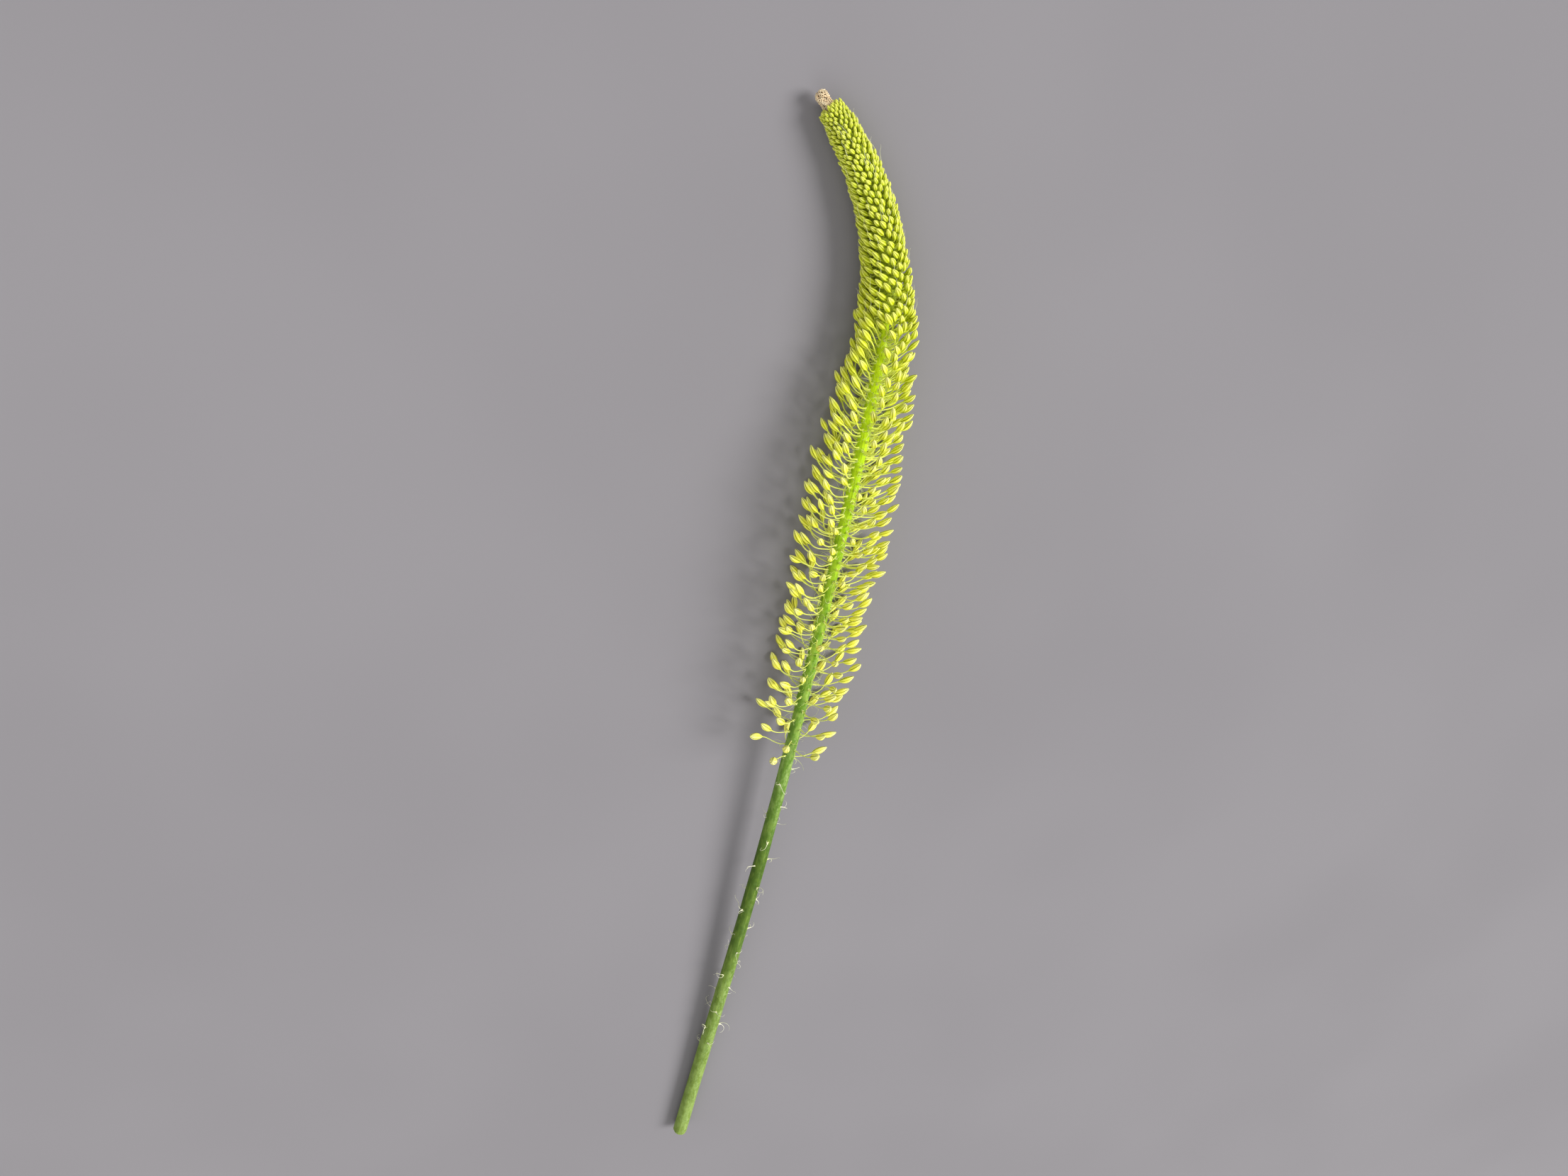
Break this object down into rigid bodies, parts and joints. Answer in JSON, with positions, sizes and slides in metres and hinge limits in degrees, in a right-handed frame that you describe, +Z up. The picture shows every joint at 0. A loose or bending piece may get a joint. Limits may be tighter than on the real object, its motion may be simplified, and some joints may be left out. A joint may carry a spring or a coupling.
{
  "type": "foxtail lily flower spike",
  "caption": "Cut foxtail lily spike in tight bud, lying down: bare tapering stem, open raceme of stalked buds, dense hooked head of small buds, withered tip.",
  "frame": {"origin": "bottom centre of the bounding box, on the surface that the spike lies on", "axes": "+Y along the spike from its cut end to its tip, +X to the right seen from above with the tip away from the viewer, +Z up; the head hooks towards -X"},
  "size_m": [0.109, 0.8832, 0.0538],
  "materials": {
    "scape_green": "satin, dull green plant skin with a pale waxy bloom",
    "raceme_green": "satin, yellow-green buds on a bright green stem",
    "head_green": "satin, lime green buds",
    "withered_brown": "matte, dried brown plant tissue"
  },
  "bodies": {
    "root": {"scape": "scape_green", "open_raceme": "raceme_green", "bud_head": "head_green", "withered_tip": "withered_brown"}
  },
  "joints": []
}
